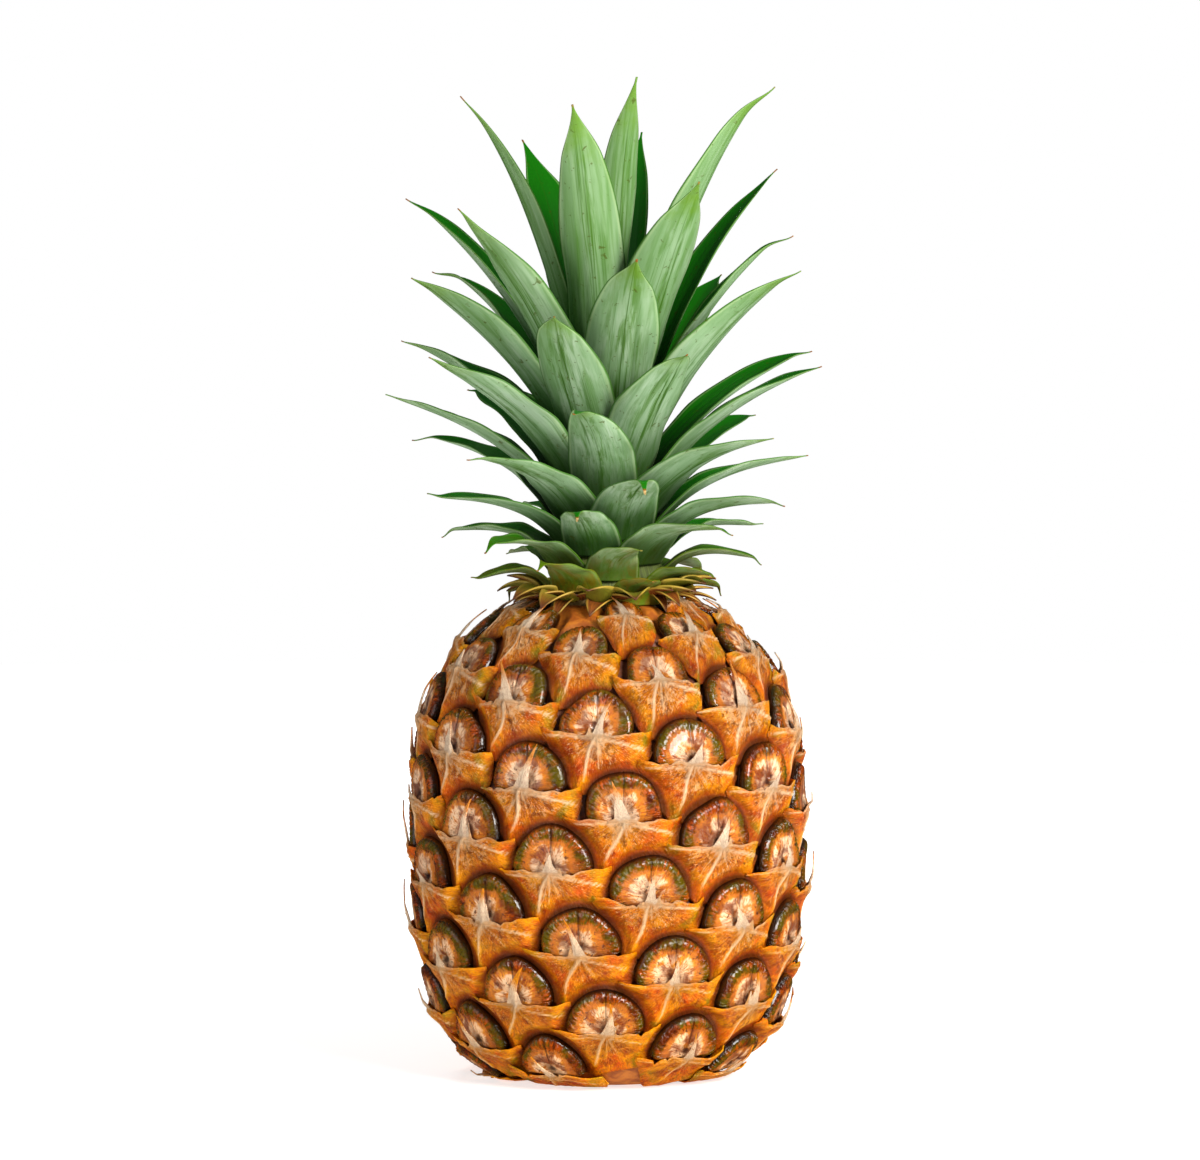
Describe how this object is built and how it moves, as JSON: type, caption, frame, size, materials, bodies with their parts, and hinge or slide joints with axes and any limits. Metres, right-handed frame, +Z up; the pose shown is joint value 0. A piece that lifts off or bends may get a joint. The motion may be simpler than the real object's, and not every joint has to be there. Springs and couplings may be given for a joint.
{
  "type": "pineapple",
  "caption": "Whole ripe pineapple that stands on its flat underside, with spiral rows of eyes and a full leafy crown.",
  "frame": {"origin": "middle of the flat underside, at the centre of the cut stalk's end", "axes": "+Z up along the fruit's axis towards the crown, -Y towards the side that is seen first"},
  "size_m": [0.1386, 0.1327, 0.3162],
  "materials": {
    "rind": "waxy eyes with dry leathery bracts",
    "cut_stalk": "dry fibrous cut",
    "stem": "pale moist fibre",
    "leaf": "waxy green with a grey bloom"
  },
  "bodies": {
    "root": {"fruit_body": "rind", "stalk_stub": "cut_stalk", "crown_stem": "stem", "leaf_01": "leaf", "leaf_02": "leaf", "leaf_03": "leaf", "leaf_04": "leaf", "leaf_05": "leaf", "leaf_06": "leaf", "leaf_07": "leaf", "leaf_08": "leaf", "leaf_09": "leaf", "leaf_10": "leaf", "leaf_11": "leaf", "leaf_12": "leaf", "leaf_13": "leaf", "leaf_14": "leaf", "leaf_15": "leaf", "leaf_16": "leaf", "leaf_17": "leaf", "leaf_18": "leaf", "leaf_19": "leaf", "leaf_20": "leaf", "leaf_21": "leaf", "leaf_22": "leaf", "leaf_23": "leaf", "leaf_24": "leaf", "leaf_25": "leaf", "leaf_26": "leaf", "leaf_27": "leaf", "leaf_28": "leaf", "leaf_29": "leaf", "leaf_30": "leaf", "leaf_31": "leaf", "leaf_32": "leaf", "leaf_33": "leaf", "leaf_34": "leaf", "leaf_35": "leaf", "leaf_36": "leaf", "leaf_37": "leaf", "leaf_38": "leaf", "leaf_39": "leaf", "leaf_40": "leaf", "leaf_41": "leaf", "leaf_42": "leaf", "leaf_43": "leaf", "leaf_44": "leaf", "leaf_45": "leaf", "leaf_46": "leaf", "leaf_47": "leaf", "leaf_48": "leaf", "leaf_49": "leaf", "leaf_50": "leaf", "leaf_51": "leaf", "leaf_52": "leaf", "leaf_53": "leaf", "leaf_54": "leaf", "leaf_55": "leaf", "leaf_56": "leaf", "leaf_57": "leaf"}
  },
  "joints": []
}
